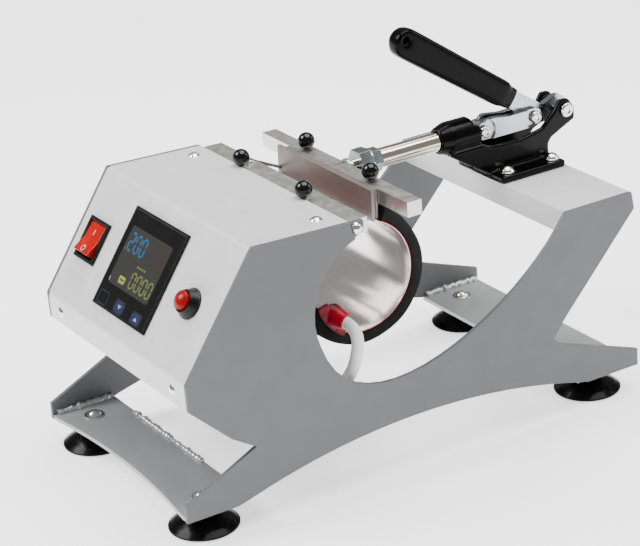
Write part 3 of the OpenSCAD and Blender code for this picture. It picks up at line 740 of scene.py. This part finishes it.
# painted light: the keys, their arrows and outlines are printed, not lit; these glow materials keep
# them bright
KEY_BLUE = glow("key_blue", (0.006, 0.035, 0.21), 0.6)
KEY_WHITE = glow("key_white", (0.75, 0.85, 1.0), 0.8)
KEY_LINE = glow("key_line", (0.07, 0.10, 0.15), 0.4)

flat_shapes("display_window", [rect(0.092, 0.245, 0.86, 0.824, 0.03)], OLIVE, 0.0, 0.03)
dim = number("888", 0.535, 0.60, 0.098, 0.062, 0.17, 0.018)
flat_shapes("display_red_digits", dim, RED_DIM, 0.03, 0.05)
blue = number("200", 0.150, 0.595, 0.112, 0.072, 0.165, 0.026)
blue.append(rect(0.118, 0.585, 0.138, 0.61))
flat_shapes("display_blue_digits", blue, BLUE, 0.03, 0.08)
green = number("0000", 0.445, 0.295, 0.105, 0.068, 0.145, 0.020)
for i in range(4):
    green.append(rect(0.45 + 0.043 * i, 0.492, 0.48 + 0.043 * i, 0.512))
flat_shapes("display_green_digits", green, GREEN, 0.03, 0.08)
flat_shapes("display_icon", [rect(0.25, 0.285, 0.365, 0.358, 0.02)], LIME, 0.03, 0.08)
flat_shapes("display_icon_slot", [rect(0.275, 0.315, 0.34, 0.328)], OLIVE, 0.08, 0.10)
# middles of the three keys; the second and third have an arrow, down and up
KEYS = ((0.145, 0.093), (0.462, 0.093), (0.79, 0.082))
keys, fields = [], []
for u, v in KEYS:
    keys += outline(u - 0.088, v - 0.065, u + 0.088, v + 0.065, 0.03, 0.008)
for u, v in KEYS[1:]:
    fields.append(rect(u - 0.075, v - 0.053, u + 0.075, v + 0.053, 0.025))
flat_shapes("key_outlines", keys, KEY_LINE, 0.0, 0.06)
flat_shapes("key_fields", fields, KEY_BLUE, 0.0, 0.05)
(u1, v1), (u2, v2) = KEYS[1:]
flat_shapes("key_arrows", [[(u1 - 0.03, v1 + 0.018), (u1, v1 - 0.018), (u1 + 0.03, v1 + 0.018)],
                           [(u2 - 0.03, v2 - 0.018), (u2 + 0.03, v2 - 0.018), (u2, v2 + 0.018)]],
            KEY_WHITE, 0.05, 0.10)
flat_shapes("status_mark", [rect(0.100, 0.262, 0.110, 0.30)], KEY_WHITE, 0.03, 0.08)

# ---------------------------------------------------------------- rocker marks

CLEAR_OF_ROCKER = 40 * MM       # the rays onto the rocker start this far out
rocker_lo, rocker_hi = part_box("switch_rocker")
ROCKER_MID = (rocker_lo + rocker_hi) / 2
ROCKER_TREE = BVHTree.FromPolygons([v.co for v in NODES["switch_rocker"].data.vertices],
                                   [p.vertices for p in NODES["switch_rocker"].data.polygons])


def on_rocker(u, v, n):
    """A point n mm above the rocker's top: u across and v up the panel from its middle, in mm."""
    start = ROCKER_MID + PX * (u * MM) + PS * (v * MM) + PN * CLEAR_OF_ROCKER
    return ROCKER_TREE.ray_cast(start, -PN)[0] + PN * (n * MM)


def printed(name, strip):
    """A thin printed mark laid over the rocker, as a strip of paired (u, v) points."""
    bm = bmesh.new()
    pairs = [[[bm.verts.new(on_rocker(u, v, n)) for u, v in pair] for n in (-0.05, 0.12)]
             for pair in strip]
    for a, b in zip(pairs, pairs[1:]):
        for quad in ((a[1][0], a[1][1], b[1][1], b[1][0]), (a[0][0], b[0][0], b[0][1], a[0][1]),
                     (a[0][0], a[1][0], b[1][0], b[0][0]), (a[0][1], b[0][1], b[1][1], a[1][1])):
            bm.faces.new(quad)
    if strip[0] != strip[-1]:
        for p in (pairs[0], pairs[-1]):
            bm.faces.new((p[0][0], p[0][1], p[1][1], p[1][0]))
    bmesh.ops.remove_doubles(bm, verts=bm.verts, dist=1e-6)
    new_object(name, mesh_of(name, bm), MARK, "rocker")


bar_mark = [[(-0.55, 4.2 + k), (0.55, 4.2 + k)] for k in range(5)]
ring_mark = [[(r * math.cos(math.tau * k / 24), -6.4 + r * math.sin(math.tau * k / 24))
              for r in (1.6, 2.4)] for k in range(25)]
printed("rocker_mark_bar", bar_mark)
printed("rocker_mark_ring", ring_mark)

# ---------------------------------------------------------------- rivets

LATHE_SEGMENTS = 32


def lathe(name, base, axis, profile, material, body):
    """A turned shape: profile pairs are (radius, height) in mm along axis from base."""
    bm = bmesh.new()
    turn = Vector((0, 0, 1)).rotation_difference(Vector(axis))
    rows = []
    for r, h in profile:
        ring = circle(LATHE_SEGMENTS, r * MM) if r else [(0, 0)]
        rows.append([bm.verts.new(Vector(base) + turn @ Vector((a, b, h * MM)))
                     for a, b in ring])
    for a, b in zip(rows, rows[1:]):
        for k in range(LATHE_SEGMENTS):
            q = (k + 1) % LATHE_SEGMENTS
            if len(a) == 1:
                bm.faces.new((a[0], b[k], b[q]))
            elif len(b) == 1:
                bm.faces.new((a[k], a[q], b[0]))
            else:
                bm.faces.new((a[k], a[q], b[q], b[k]))
    new_object(name, mesh_of(name, bm, 45.0), material, body)


# half section of a rivet's head with a dimple, from its middle out and back
RIVET = [(0, 0.2), (1.0, 0.25), (1.5, 0.7), (2.1, 1.3), (2.9, 1.5), (3.7, 1.2), (4.3, 0.5),
         (4.4, -0.1), (0, -0.1)]
for node, scale in (("body_pin", 1.16), ("link_pin", 1.0), ("plunger_pin", 1.0)):
    lo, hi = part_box(node)
    centre = (lo + hi) / 2
    for side, x, way in (("right", hi.x, 1), ("left", lo.x, -1)):
        lathe("%s_head_%s" % (node, side), (x - way * 0.6 * MM, centre.y, centre.z), (way, 0, 0),
              [(r * scale, h) for r, h in RIVET], MATS["screw_steel"], BODY_OF[node])

# ---------------------------------------------------------------- stage and light

FLOOR_HALF = 12.0               # m
FLOOR_Z = -0.5 * MM             # just under the feet
floor_mesh = bpy.data.meshes.new("floor")
bm = bmesh.new()
bmesh.ops.create_grid(bm, x_segments=4, y_segments=4, size=FLOOR_HALF)
bm.to_mesh(floor_mesh)
bm.free()
floor = bpy.data.objects.new("floor", floor_mesh)
floor.location.z = FLOOR_Z
bpy.context.scene.collection.objects.link(floor)
fm = Nodes("floor")
fm.set(Base_Color=(0.95, 0.95, 0.95), Roughness=0.75)
fm.bsdf.inputs["Emission Color"].default_value = (1, 1, 1, 1)
fm.bsdf.inputs["Emission Strength"].default_value = 1.1
fm.bsdf.inputs["Specular IOR Level"].default_value = 0.15
floor.data.materials.append(fm.done())

world = bpy.data.worlds.new("world")
bpy.context.scene.world = world
world.use_nodes = True
world.node_tree.nodes["Background"].inputs[0].default_value = (1.0, 1.0, 1.0, 1)
world.node_tree.nodes["Background"].inputs[1].default_value = 0.32


def area(name, at, target, size, power):
    """A white square light of size metres and power watts at a point, aimed at target."""
    data = bpy.data.lights.new(name, "AREA")
    data.energy = power
    data.size = size
    obj = bpy.data.objects.new(name, data)
    obj.location = at
    obj.rotation_mode = "QUATERNION"
    obj.rotation_quaternion = (Vector(target) - Vector(at)).to_track_quat("-Z", "Y")
    bpy.context.scene.collection.objects.link(obj)


area("key", (-1.0, -1.5, 2.0), (0, 0, 0.1), 1.2, 85.0)
area("top", (0.1, 0.5, 2.3), (0, 0, 0.1), 2.0, 95.0)
area("rim", (0.7, 1.9, 1.1), (0, 0, 0.15), 1.0, 14.0)
